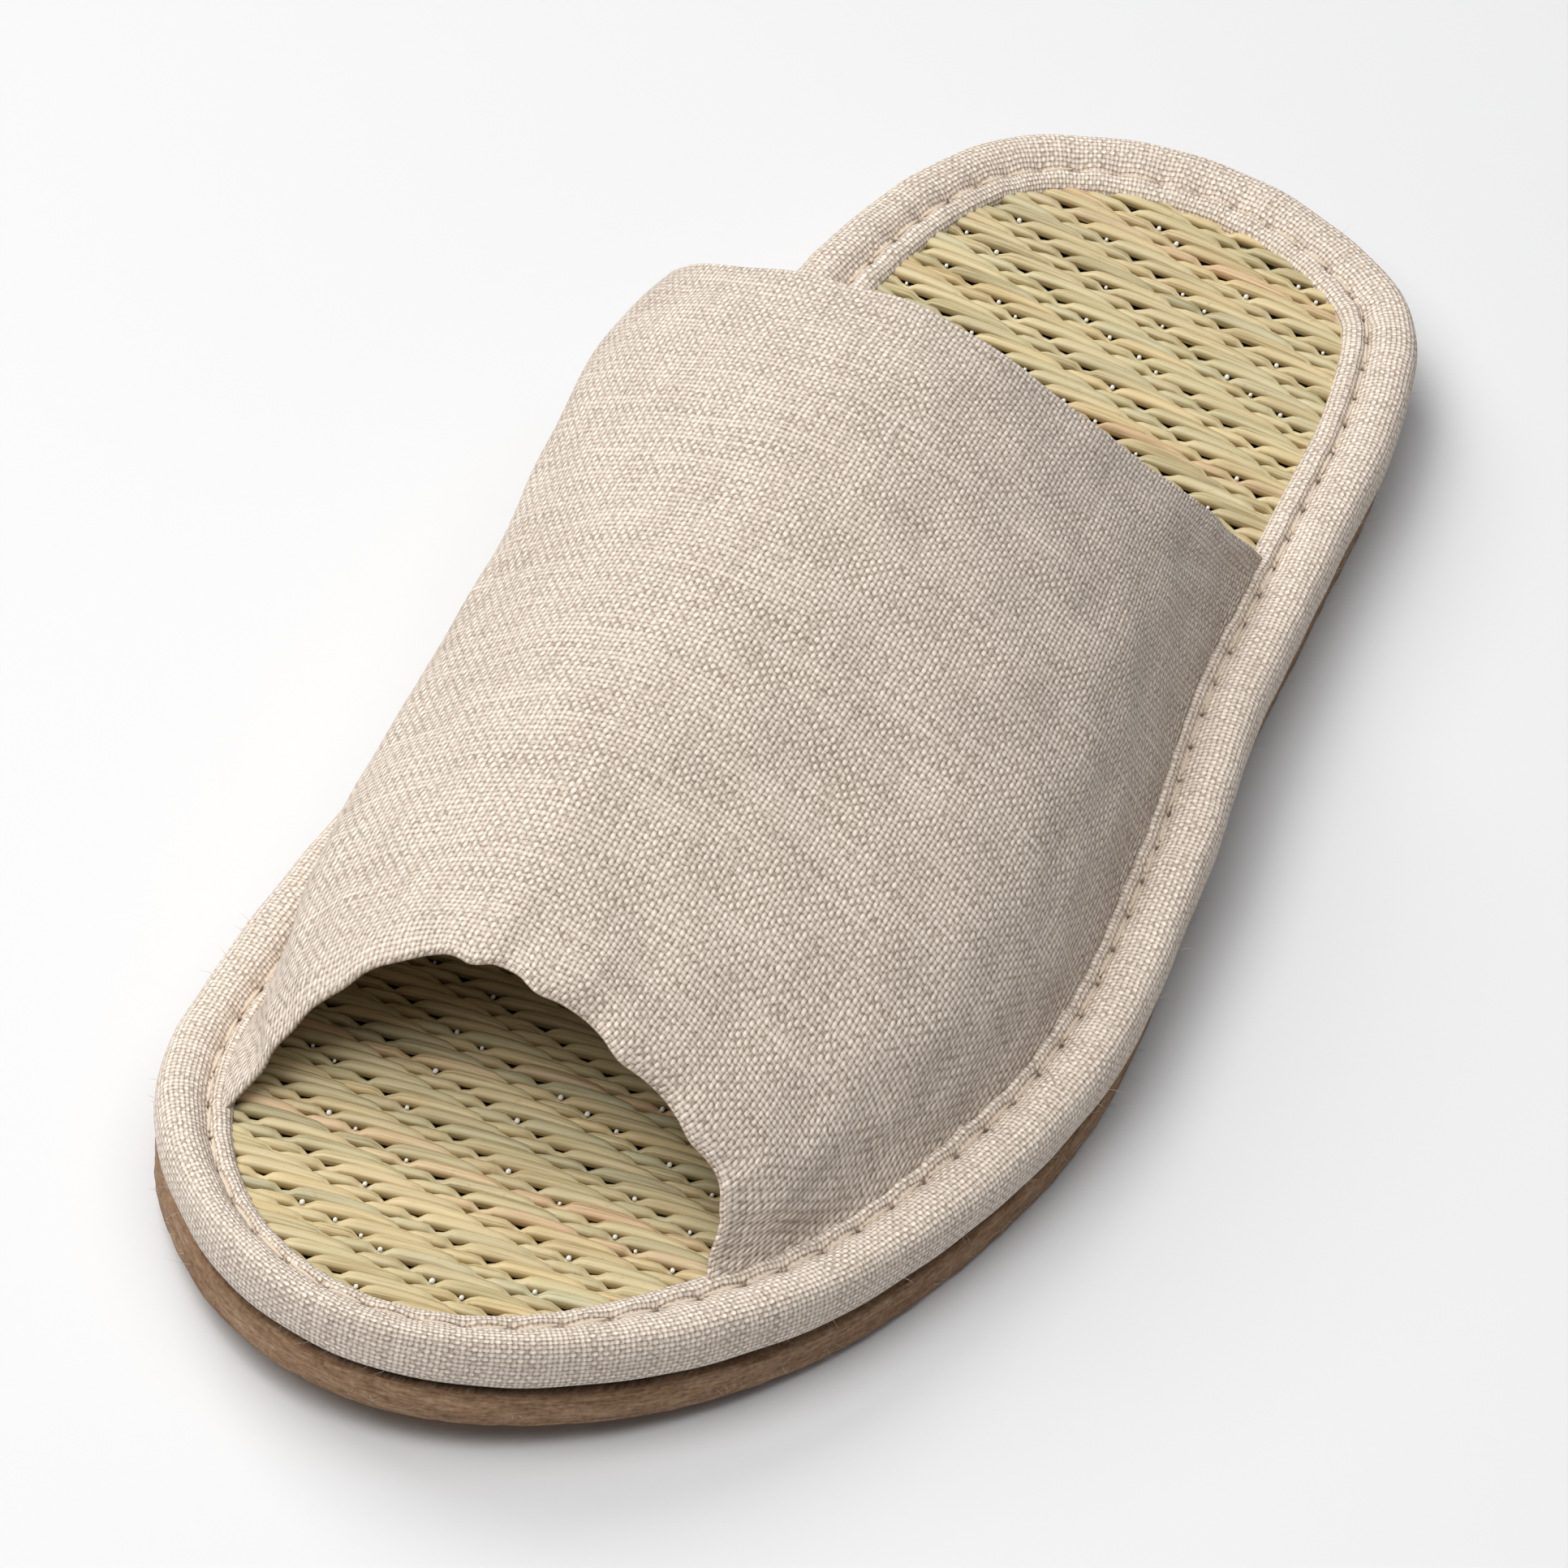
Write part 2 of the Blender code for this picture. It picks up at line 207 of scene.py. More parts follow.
def bead_piece(name, spots, segments, material):
    """Many small round shapes as one piece, each stretched and placed by its own matrix."""
    bead = bmesh.new()
    bmesh.ops.create_uvsphere(bead, u_segments=segments, v_segments=6, radius=1.0, calc_uvs=True)
    mesh = bpy.data.meshes.new("bead")
    bead.to_mesh(mesh)
    bead.free()
    bm = bmesh.new()
    for spot in spots:
        one = mesh.copy()
        one.transform(spot)
        bm.from_mesh(one)
        bpy.data.meshes.remove(one)
    bpy.data.meshes.remove(mesh)
    return piece_from(name, bm, material)


def piece_from(name, bm, material):
    """A smooth-shaded piece on the slipper's one body."""
    bm.normal_update()
    mesh = bpy.data.meshes.new(name)
    bm.to_mesh(mesh)
    bm.free()
    mesh.shade_smooth()
    piece = bpy.data.objects.new(name, mesh)
    mesh.materials.append(material)
    bpy.context.scene.collection.objects.link(piece)
    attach(piece, "root")
    return piece


# Material nodes

def add(tree, kind, sockets=None, **settings):
    """A shader node with its settings, and each socket given a value or joined to another node's output."""
    made = tree.nodes.new("ShaderNode" + kind)
    for key, value in settings.items():
        setattr(made, key, value)
    for key, value in (sockets or {}).items():
        if isinstance(value, bpy.types.NodeSocket):
            tree.links.new(value, made.inputs[key])
        else:
            made.inputs[key].default_value = value
    return made


def maths(tree, operation, *values, clamp=False):
    made = add(tree, "Math", dict(enumerate(values)), operation=operation)
    made.use_clamp = clamp
    return made.outputs[0]


def fade(tree, high, low, span):
    """0 where high doesn't pass low, and up to 1 where it does so by span."""
    return maths(tree, "DIVIDE", maths(tree, "SUBTRACT", high, low), span, clamp=True)


def noise(tree, place, scale, detail=2.0, roughness=0.5):
    return add(tree, "TexNoise", {"Vector": place, "Scale": scale, "Detail": detail,
                                  "Roughness": roughness}).outputs["Fac"]


def stretched(tree, place, along, across, turn=0.0):
    """A place scaled by its own number along and across."""
    return add(tree, "Mapping", {"Vector": place, "Scale": (across, along, 1.0),
                                 "Rotation": (0, 0, turn)}).outputs[0]


def ramp(tree, value, *stops):
    made = add(tree, "ValToRGB", {"Fac": value})
    line = made.color_ramp
    while len(line.elements) < len(stops):
        line.elements.new(0.5)
    for element, (spot, colour) in zip(line.elements, stops):
        element.position = spot
        element.color = (*colour, 1)
    return made.outputs[0]


def tinted(tree, blend, amount, one, two):
    """One colour mixed with two by the amount, each a value or another node's output."""
    made = add(tree, "Mix", data_type="RGBA", blend_type=blend)
    for key, value in ((0, amount), (6, one), (7, two)):
        if isinstance(value, bpy.types.NodeSocket):
            tree.links.new(value, made.inputs[key])
        elif key:
            made.inputs[key].default_value = (*value, 1)
        else:
            made.inputs[key].default_value = value
    return made.outputs[2]


def new_group(name, inputs, outputs):
    tree = bpy.data.node_groups.new(name, "ShaderNodeTree")
    for key, kind, value in inputs:
        socket = tree.interface.new_socket(key, in_out="INPUT", socket_type="NodeSocket" + kind)
        if value is not None:
            socket.default_value = value
    for key in outputs:
        tree.interface.new_socket(key, in_out="OUTPUT", socket_type="NodeSocketFloat")
    return tree, tree.nodes.new("NodeGroupInput").outputs, tree.nodes.new("NodeGroupOutput").inputs


def weave_group():
    """Plain weave of uneven linen thread: what lies on top, the gaps between threads, and the height."""
    tree, given, out = new_group("plain weave", (("Place", "Vector", None), ("Thread", "Float", 0.00067),
                                                 ("Wander", "Float", 0.0006), ("Stretch", "Float", 1.0)),
                                ("Tone", "Gap", "Height"))
    drift = add(tree, "TexNoise", {"Vector": given["Place"], "Scale": 130.0, "Detail": 2.0}).outputs["Color"]
    drift = add(tree, "VectorMath", {0: drift, 1: (0.5, 0.5, 0.5)}, operation="SUBTRACT").outputs[0]
    drift = add(tree, "VectorMath", {0: drift, "Scale": given["Wander"]}, operation="SCALE").outputs[0]
    place = add(tree, "VectorMath", {0: given["Place"], 1: drift}, operation="ADD").outputs[0]
    across = maths(tree, "DIVIDE", 1.0, given["Thread"])
    along = maths(tree, "DIVIDE", across, given["Stretch"])
    spacing = add(tree, "CombineXYZ", {0: across, 1: along, 2: across})
    place = add(tree, "VectorMath", {0: place, 1: spacing.outputs[0]}, operation="MULTIPLY").outputs[0]
    axes = add(tree, "SeparateXYZ", {0: place}).outputs
    u, v = axes[0], axes[1]
    a = maths(tree, "SINE", maths(tree, "MULTIPLY", u, math.pi))
    b = maths(tree, "SINE", maths(tree, "MULTIPLY", v, math.pi))
    roundness = 0.6
    round_a = maths(tree, "POWER", maths(tree, "ABSOLUTE", a), roundness)
    round_b = maths(tree, "POWER", maths(tree, "ABSOLUTE", b), roundness)
    # Each thread's own thickness and tone, which drift slowly along it. The third number keeps warp and
    # weft apart in the noise
    apart, slow = 3.71, 0.045
    warp_place = add(tree, "CombineXYZ", {0: maths(tree, "MULTIPLY", maths(tree, "FLOOR", u), apart),
                                          1: maths(tree, "MULTIPLY", v, slow)}).outputs[0]
    weft_place = add(tree, "CombineXYZ", {0: maths(tree, "MULTIPLY", u, slow),
                                          1: maths(tree, "MULTIPLY", maths(tree, "FLOOR", v), apart),
                                          2: 7.3}).outputs[0]
    warp_tone, weft_tone = noise(tree, warp_place, 1.0), noise(tree, weft_place, 1.0)
    # A thread stands highest where it passes over, and lies lowest where it passes under
    lean, thickness, weft_sink = 0.55, 0.5, 0.10
    warp = maths(tree, "ADD", round_a, maths(tree, "MULTIPLY", maths(tree, "MULTIPLY",
                 maths(tree, "SIGN", a), b), lean))
    weft = maths(tree, "SUBTRACT", round_b, maths(tree, "MULTIPLY", maths(tree, "MULTIPLY",
                 maths(tree, "SIGN", b), a), lean))
    warp = maths(tree, "MULTIPLY_ADD", warp_tone, thickness, warp)
    weft = maths(tree, "MULTIPLY_ADD", weft_tone, thickness, weft)
    over = maths(tree, "MULTIPLY_ADD", maths(tree, "SUBTRACT", warp, weft), 3.0, 0.5, clamp=True)
    tone = add(tree, "Mix", {0: over, 2: weft_tone, 3: warp_tone}).outputs[0]
    weft = maths(tree, "SUBTRACT", weft, weft_sink)
    height = maths(tree, "MULTIPLY", maths(tree, "MAXIMUM", warp, weft), 0.5)
    # Uneven spinning, each thread's own tone, and warp paler than weft
    knot = noise(tree, place, 1.3, 1.0)
    tone = maths(tree, "MULTIPLY_ADD", maths(tree, "SUBTRACT", tone, 0.5), 0.62, knot)
    tone = maths(tree, "MULTIPLY_ADD", maths(tree, "SUBTRACT", over, 0.42), 0.18, tone)
    cover = maths(tree, "MAXIMUM", round_a, round_b)
    loose = maths(tree, "MULTIPLY_ADD", noise(tree, place, 0.9), 0.5, 0.38)
    gap = fade(tree, loose, cover, 0.25)
    for key, value in (("Tone", tone), ("Gap", gap), ("Height", height)):
        tree.links.new(value, out[key])
    return tree


def fibre_group():
    """Fine streaks that run one way, as on stems, felt and the cut edge of a foam sheet."""
    tree, given, out = new_group("fibres", (("Place", "Vector", None), ("Fine", "Float", 3000.0),
                                            ("Long", "Float", 120.0)), ("Tone", "Height"))
    scale = add(tree, "CombineXYZ", {0: given["Fine"], 1: given["Long"], 2: given["Fine"]}).outputs[0]
    place = add(tree, "VectorMath", {0: given["Place"], 1: scale}, operation="MULTIPLY").outputs[0]
    fine = noise(tree, place, 1.0, 3.0, 0.6)
    broad = noise(tree, place, 0.23, 1.0)
    tone = maths(tree, "MULTIPLY_ADD", maths(tree, "SUBTRACT", fine, 0.5), 1.8, broad, clamp=True)
    tree.links.new(tone, out["Tone"])
    tree.links.new(fine, out["Height"])
    return tree


def place_group(tree, group, **values):
    made = tree.nodes.new("ShaderNodeGroup")
    made.node_tree = group
    for key, value in values.items():
        if isinstance(value, bpy.types.NodeSocket):
            tree.links.new(value, made.inputs[key])
        else:
            made.inputs[key].default_value = value
    return made.outputs


def bumped(tree, shader, layers):
    """Bump nodes one on the other, each with its height, distance and strength."""
    normal = None
    for height, distance, strength in layers:
        made = add(tree, "Bump", {"Height": height, "Distance": distance, "Strength": strength})
        if normal:
            tree.links.new(normal, made.inputs["Normal"])
        normal = made.outputs[0]
    tree.links.new(normal, shader.inputs["Normal"])


def new_material(name, roughness):
    material = bpy.data.materials.new(name)
    material.use_nodes = True
    tree = material.node_tree
    shader = tree.nodes["Principled BSDF"]
    shader.inputs["Roughness"].default_value = roughness
    return material, tree, shader


def surface_place(tree):
    return tree.nodes.new("ShaderNodeTexCoord").outputs["UV"]


# Half width of the shaded groove along the stitches
GROOVE_HALF = 0.0011


def linen_material(name, weave, thread, stretch, pale, dark, holes=None):
    """Natural linen: thread tones, painted shade in the gaps and low parts of the weave, blotches and soft
    nap. holes is the stitch row's (place across, pitch) where the needle went through, with painted shade in
    the needle holes and along the groove."""
    material, tree, shader = new_material(name, 0.92)
    place = surface_place(tree)
    cloth = place_group(tree, weave, Place=place, Thread=thread, Stretch=stretch)
    tone = maths(tree, "ADD", cloth["Tone"], maths(tree, "MULTIPLY", maths(tree, "SUBTRACT",
                 noise(tree, place, 2600.0, 2.0), 0.5), 0.5))
    blotch = noise(tree, stretched(tree, place, 30.0, 55.0), 1.0, 3.0)
    tone = maths(tree, "MULTIPLY_ADD", maths(tree, "SUBTRACT", blotch, 0.5), 0.16, tone)
    colour = ramp(tree, tone, (0.22, dark), (0.42, [0.35 * d + 0.65 * p for d, p in zip(dark, pale)]),
                  (0.62, pale), (0.80, [min(1.0, 1.12 * p) for p in pale]))
    # Painted shade in the low parts of the weave, where threads dip under
    low = fade(tree, 0.88, cloth["Height"], 0.42)
    colour = tinted(tree, "MULTIPLY", maths(tree, "MULTIPLY", low, 0.76), colour, (0.56, 0.49, 0.43))
    # Painted shade in the gaps between threads
    colour = tinted(tree, "MIX", maths(tree, "MULTIPLY", cloth["Gap"], 0.70), colour, (0.13, 0.09, 0.065))
    slub = noise(tree, stretched(tree, place, 90.0, 1500.0), 1.0, 1.0)
    slub = fade(tree, slub, 0.70, 0.08)
    colour = tinted(tree, "MIX", maths(tree, "MULTIPLY", slub, 0.22), colour, (0.33, 0.25, 0.18))
    layers = [(cloth["Height"], 0.00030, 0.9), (noise(tree, place, 4200.0, 2.0), 0.00005, 0.5)]
    if holes:
        row, pitch = holes
        axes = add(tree, "SeparateXYZ", {0: place}).outputs
        along = maths(tree, "MULTIPLY", maths(tree, "SUBTRACT", maths(tree, "FRACT",
                      maths(tree, "DIVIDE", axes[1], pitch)), 0.5), pitch)
        across = maths(tree, "SUBTRACT", axes[0], row)
        squared = maths(tree, "ADD", maths(tree, "MULTIPLY", along, along),
                        maths(tree, "MULTIPLY", maths(tree, "MULTIPLY", across, across), 1.3))
        far = maths(tree, "SQRT", squared)
        # Painted shade in the needle holes
        edge = maths(tree, "MULTIPLY_ADD", noise(tree, place, 1500.0), 0.0010, 0.00012)
        painted_pit_shade = fade(tree, edge, far, 0.00035)
        colour = tinted(tree, "MIX", maths(tree, "MULTIPLY", painted_pit_shade, 0.85), colour, (0.085, 0.052, 0.034))
        # Painted shade along the groove that the stitches draw in
        painted_groove_shade = fade(tree, GROOVE_HALF, maths(tree, "ABSOLUTE", across), GROOVE_HALF)
        colour = tinted(tree, "MULTIPLY", maths(tree, "MULTIPLY", painted_groove_shade, 0.40), colour, (0.60, 0.50, 0.42))
    tree.links.new(colour, shader.inputs["Base Color"])
    shader.inputs["Sheen Weight"].default_value = 0.12
    shader.inputs["Sheen Roughness"].default_value = 0.6
    shader.inputs["Specular IOR Level"].default_value = 0.15
    bumped(tree, shader, layers)
    return material


# Each stem's own strip in the mat's UV map: its width, and the step to the next
STEM_UV_WIDTH = 0.004
STEM_UV_STEP = 0.011
# Middle of a stem's top as a share of its strip, and how far the shade leans towards the toe
SECTION_MIDDLE = 2.5 / 7
SECTION_LEAN = -0.03


def rush_material(fibres):
    """Dry rush: each stem's own colour with fine streaks along it, and a dull gloss."""
    material, tree, shader = new_material("rush", 0.5)
    place = surface_place(tree)
    stem_tone = add(tree, "Attribute", attribute_name="stem_tone").outputs["Color"]
    streak = place_group(tree, fibres, Place=place, Fine=3400.0, Long=75.0)
    spots = noise(tree, place, 700.0, 3.0)
    colour = tinted(tree, "MULTIPLY", 0.85, stem_tone, ramp(
        tree, streak["Tone"], (0.10, (0.50, 0.44, 0.32)), (0.45, (0.92, 0.90, 0.84)),
        (0.75, (1.0, 1.0, 1.0)), (1.0, (1.16, 1.14, 1.06))))
    # Painted shade where two stems meet, most on the side towards the toe
    across = add(tree, "SeparateXYZ", {0: place}).outputs[0]
    strip = maths(tree, "FRACT", maths(tree, "DIVIDE", across, STEM_UV_STEP))
    strip = maths(tree, "MULTIPLY", strip, STEM_UV_STEP / STEM_UV_WIDTH)
    off = maths(tree, "ADD", maths(tree, "SUBTRACT", strip, SECTION_MIDDLE), SECTION_LEAN)
    side = maths(tree, "DIVIDE", maths(tree, "ABSOLUTE", off), SECTION_MIDDLE)
    painted_seam_shade = fade(tree, side, 0.42, 0.42)
    colour = tinted(tree, "MULTIPLY", maths(tree, "MULTIPLY", painted_seam_shade, 0.80), colour, (0.42, 0.34, 0.20))
    spots = fade(tree, spots, 0.66, 0.06)
    colour = tinted(tree, "MIX", maths(tree, "MULTIPLY", spots, 0.25), colour, (0.30, 0.18, 0.08))
    tree.links.new(colour, shader.inputs["Base Color"])
    gloss = maths(tree, "MULTIPLY_ADD", streak["Tone"], -0.18, 0.60)
    tree.links.new(gloss, shader.inputs["Roughness"])
    shader.inputs["Specular IOR Level"].default_value = 0.35
    bumped(tree, shader, [(streak["Height"], 0.00016, 0.6)])
    return material


def foam_material(fibres):
    """Brown foam sheet with a napped, slightly hairy cut edge."""
    material, tree, shader = new_material("foam", 0.95)
    place = surface_place(tree)
    streak = place_group(tree, fibres, Place=place, Fine=2400.0, Long=420.0)
    cells = noise(tree, place, 1400.0, 3.0)
    tone = maths(tree, "MULTIPLY_ADD", streak["Tone"], 0.55, maths(tree, "MULTIPLY", cells, 0.5))
    colour = ramp(tree, tone, (0.20, (0.145, 0.082, 0.046)), (0.52, (0.290, 0.180, 0.108)),
                  (0.85, (0.46, 0.32, 0.21)))
    tree.links.new(colour, shader.inputs["Base Color"])
    shader.inputs["Specular IOR Level"].default_value = 0.2
    bumped(tree, shader, [(streak["Height"], 0.00022, 0.7), (cells, 0.00010, 0.5)])
    return material


def board_material(fibres):
    """Thin felted board coloured near black: its own dark tone with painted shade of the recess between
    binding and foam.
    """
    material, tree, shader = new_material("board", 0.9)
    place = surface_place(tree)
    streak = place_group(tree, fibres, Place=place, Fine=1500.0, Long=500.0)
    tree.links.new(ramp(tree, streak["Tone"], (0.2, (0.012, 0.012, 0.008)), (0.9, (0.045, 0.046, 0.034))),
                   shader.inputs["Base Color"])
    bumped(tree, shader, [(streak["Height"], 0.0001, 0.5)])
    return material


def thread_material(name, fibres, pale, dark, roughness):
    """Plain spun thread or felt, streaked between two tones."""
    material, tree, shader = new_material(name, roughness)
    place = surface_place(tree)
    streak = place_group(tree, fibres, Place=place, Fine=3000.0, Long=900.0)
    tree.links.new(ramp(tree, streak["Tone"], (0.15, dark), (0.7, pale)), shader.inputs["Base Color"])
    bumped(tree, shader, [(streak["Height"], 0.00006, 0.6)])
    return material


# The upper

# Forward shifts of the toe rim, in mm, where its turned edge is gathered: place on the way round, shift
RIM_WAVES = (
    (0.30, 0.3), (0.42, -0.5), (0.475, 0.9), (0.515, -0.5), (0.555, 0.8), (0.605, -0.7), (0.645, 0.7),
    (0.695, -0.6), (0.74, 0.5), (0.79, -0.4), (0.85, 0.3),
)
RIM_WAVE_WIDTH = 0.017
RIM_WAVE_REACH = 0.0055
# Soft ridges and troughs: from way and run to way and run, half width and height in mm
CREASES = (
    (0.58, 0.035, 0.92, 0.050, 4.5, 0.9),
    (0.62, 0.110, 0.90, 0.150, 5.5, -0.7),
    (0.12, 0.030, 0.42, 0.035, 4.0, 0.6),
    (0.14, 0.120, 0.36, 0.130, 6.0, -0.5),
    (0.50, 0.050, 0.47, 0.300, 5.0, 0.5),
    (0.55, 0.160, 0.66, 0.480, 9.0, -0.7),
    (0.40, 0.350, 0.44, 0.800, 10.0, 0.5),
    (0.74, 0.300, 0.70, 0.620, 9.0, 0.6),
    (0.84, 0.420, 0.88, 0.760, 7.0, -0.6),
    (0.30, 0.350, 0.24, 0.700, 9.0, -0.5),
    (0.30, 0.955, 0.72, 0.950, 3.0, -0.35),
    (0.70, 0.985, 0.86, 0.990, 3.0, 0.5),
    (0.86, 0.930, 0.985, 0.975, 2.6, -0.6),
    (0.88, 0.985, 0.985, 0.992, 2.0, 0.4),
    (0.04, 0.960, 0.18, 0.930, 3.0, -0.5),
    (0.02, 0.985, 0.16, 0.985, 2.5, 0.4),
    (0.90, 0.020, 0.985, 0.090, 3.0, -0.6),
    (0.02, 0.080, 0.10, 0.020, 3.0, -0.5),
)
# Rough size of the smooth band from foot to foot and from toe rim to throat, on which creases are placed
BAND_FLAT = np.array((0.136, 0.152))
# Where the feet of the cloth stand: in from the edge, and above the mat
FOOT_INSET = 0.0086
FOOT_RISE = 0.0008
# The rims thicken over this length, and turn over in these steps, in degrees
RIM_LENGTH = 0.012
RIM_TURNS = (25, 50, 75, 105, 130, 155)


def upper_points(ways, runs):
    """Points of the upper's outside, in rows from the toe rim to the throat."""
    way, run = np.meshgrid(ways, runs)
    toe, throat = (
        rim[0] + (rim[1] - rim[0]) * way - LENGTH / 2 + sweep * np.sin(math.pi * way)
        for rim, sweep in ((UPPER_TOE, TOE_RIM_SWEEP), (UPPER_THROAT, THROAT_RIM_SWEEP))
    )
    y = toe + (throat - toe) * run
    rise, crest, inner_out, inner_up, outer_out, outer_up = (
        smooth(SECTIONS[:, 0], SECTIONS[:, k], place_of(y)) for k in range(1, 7)
    )
    top = UPPER_RISE * rise
    inner, outer = edge_x(FOOT_INSET, -1)(y), edge_x(FOOT_INSET, 1)(y)
    across = np.stack([inner, inner - UPPER_BULGE * inner_out, crest * WIDTH / 2,
                       outer + UPPER_BULGE * outer_out, outer])
    up = np.stack([0 * top, top * inner_up, top, top * outer_up, 0 * top])
    points = np.zeros((*way.shape, 3))
    for k, w in enumerate(ways):
        points[:, k, 0] = smooth(FOOT_TO_FOOT, across[:, :, k], w)
        points[:, k, 2] = smooth(FOOT_TO_FOOT, up[:, :, k], w)
    points[..., 1] = y
    points[..., 2] += RUSH_TOP + FOOT_RISE + lift(y)
    return points


def outward(points):
    round_it = np.gradient(points, axis=1)
    along = np.gradient(points, axis=0)
    normal = np.cross(round_it, along)
    return normal / np.linalg.norm(normal, axis=2)[..., None]


def crease_relief(way, run):
    """Height of all the soft ridges and troughs over the smooth band."""
    place = np.stack([way, run], -1) * BAND_FLAT
    total = np.zeros(way.shape)
    for row in CREASES:
        start, end = np.array(row[0:2]) * BAND_FLAT, np.array(row[2:4]) * BAND_FLAT
        line = end - start
        t = np.clip((place - start) @ line / (line @ line), 0, 1)
        off = np.linalg.norm(place - start - t[..., None] * line, axis=-1)
        total += row[5] * MM * np.exp(-((off / (row[4] * MM)) ** 2))
    return total * np.clip(np.minimum(way, 1 - way) / 0.05, 0, 1)


def rim_wave(way):
    return sum(shift * MM * np.exp(-(((way - spot) / RIM_WAVE_WIDTH) ** 2)) for spot, shift in RIM_WAVES)


def dress_band(points, way, run):
    """The smooth band with its gathered toe rim and creases."""
    normal = outward(points)
    from_toe = run * BAND_FLAT[1]
    wave = rim_wave(way)
    near = np.exp(-from_toe / RIM_WAVE_REACH)
    points[..., 1] -= wave * near
    relief = crease_relief(way, run)
    # The cloth sinks behind a gather, and is nowhere quite even
    relief += np.minimum(wave, 0) * 0.9 * np.exp(-from_toe / (1.6 * RIM_WAVE_REACH))
    relief += 0.0002 * np.sin(way * 61 + 3 * run) * np.sin(run * 37 + 5 * way)
    return points + normal * relief[..., None]


def make_upper(material):
    # Rows lie closer near the toe rim, where it is gathered
    ways = np.linspace(0, 1, 181)
    runs = np.concatenate([np.linspace(0, 0.12, 31)[:-1], np.linspace(0.12, 1, 111)])
    way, run = np.meshgrid(ways, runs)
    outside = dress_band(upper_points(ways, runs), way, run)
    normal = outward(outside)
    rim = np.minimum(run, 1 - run) * BAND_FLAT[1]
    wall = UPPER_WALL * (0.5 + 0.5 * np.clip(rim / RIM_LENGTH, 0, 1) ** 2)
    inside = outside - normal * wall[..., None]
    along = np.gradient(outside, axis=0)
    along /= np.linalg.norm(along, axis=2)[..., None]
    edge = [((1 - math.cos(turn)) / 2, math.sin(turn) * UPPER_WALL / 4) for turn in np.radians(RIM_TURNS)]
    throat_roll = [outside[-1] * (1 - s) + inside[-1] * s + along[-1] * out for s, out in edge]
    toe_roll = [outside[0] * s + inside[0] * (1 - s) - along[0] * out for s, out in edge]
    points = np.concatenate([outside, np.array(throat_roll), inside[::-1], np.array(toe_roll), outside[:1]])
    # One more column at each foot, where the two faces of the cloth meet inside the binding's lip
    middle = (outside[:, (0, -1)] + inside[:, (0, -1)]) / 2
    middle[..., 2] -= 0.0004
    ends = np.concatenate([middle, np.repeat(middle[-1:], len(edge), 0), middle[::-1],
                           np.repeat(middle[:1], len(edge) + 1, 0)])
    points = np.concatenate([ends[:, :1], points, ends[:, 1:]], 1)
    step = np.linalg.norm(np.diff(points, axis=1), axis=2)
    arc = np.concatenate([np.zeros((len(points), 1)), np.cumsum(step, axis=1)], 1)
    centre = len(ways) // 2 + 1
    arc -= arc[:, centre:centre + 1]
    length = np.linalg.norm(np.diff(points, axis=0), axis=2).mean(1)
    long = np.concatenate([[0], np.cumsum(length)])
    uvs = np.stack([arc, np.repeat(long[:, None], points.shape[1], 1)], 2)
    bm = bmesh.new()
    grid_into(bm, points, uvs, wrap=True)
    piece = piece_from("upper_cloth", bm, material)
    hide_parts("upper")


# The binding and its stitches

STITCH_PITCH = 0.0065
# The valley that the stitches draw in, its half width, and the pits and puckers along it
VALLEY_INSET = 0.0070
VALLEY_HALF = 0.0026
PIT_DEPTH = 0.0006
PIT_SIZE = 0.0006
PUCKER = 0.00022
# A stitch: depth below the roll's top, half width and half height
STITCH_SINK = 0.00152
STITCH_HALF = (0.00028, 0.00030)
# Power below 1 that makes the roll fuller than a circle
ROLL_POWER = 0.75
# Slow unevenness of the roll: waves round the edge, height in mm
ROLL_WAVES = ((4, 0.10), (9, 0.08), (17, 0.06), (31, 0.06), (53, 0.05))


def binding_profile():
    """The binding's section from the bottom of its roll over the top to the mat, as (inset, height)."""
    rows = []
    for degrees in range(-90, 91, 10):
        turn = math.radians(degrees)
        out = max(math.cos(turn), 0.0) ** ROLL_POWER
        up = math.copysign(abs(math.sin(turn)) ** ROLL_POWER, turn)
        rows.append((ROLL_WIDTH / 2 * (1 - out), RUSH_BASE + ROLL_HEIGHT / 2 * (1 + up)))
    top = RUSH_BASE + ROLL_HEIGHT
    lip = RUSH_TOP + 0.0009
    rows += [(0.0046, top - 0.00014), (0.0054, top - 0.0005), (0.0060, top - 0.0009), (0.0065, top - 0.0013),
             (VALLEY_INSET, top - 0.0017), (0.0074, top - 0.0014), (0.0079, lip + 0.0001),
             (0.0086, lip + 0.0001), (0.0094, lip - 0.0001), (0.0100, lip - 0.0004), (0.0104, lip - 0.0010),
             (BINDING_WIDTH, RUSH_TOP - 0.0012), (BINDING_WIDTH, RUSH_BASE)]
    return np.array(rows)


def stitch_pitch(total):
    """The pitch that gives a whole number of stitches."""
    return total / round(total / STITCH_PITCH)


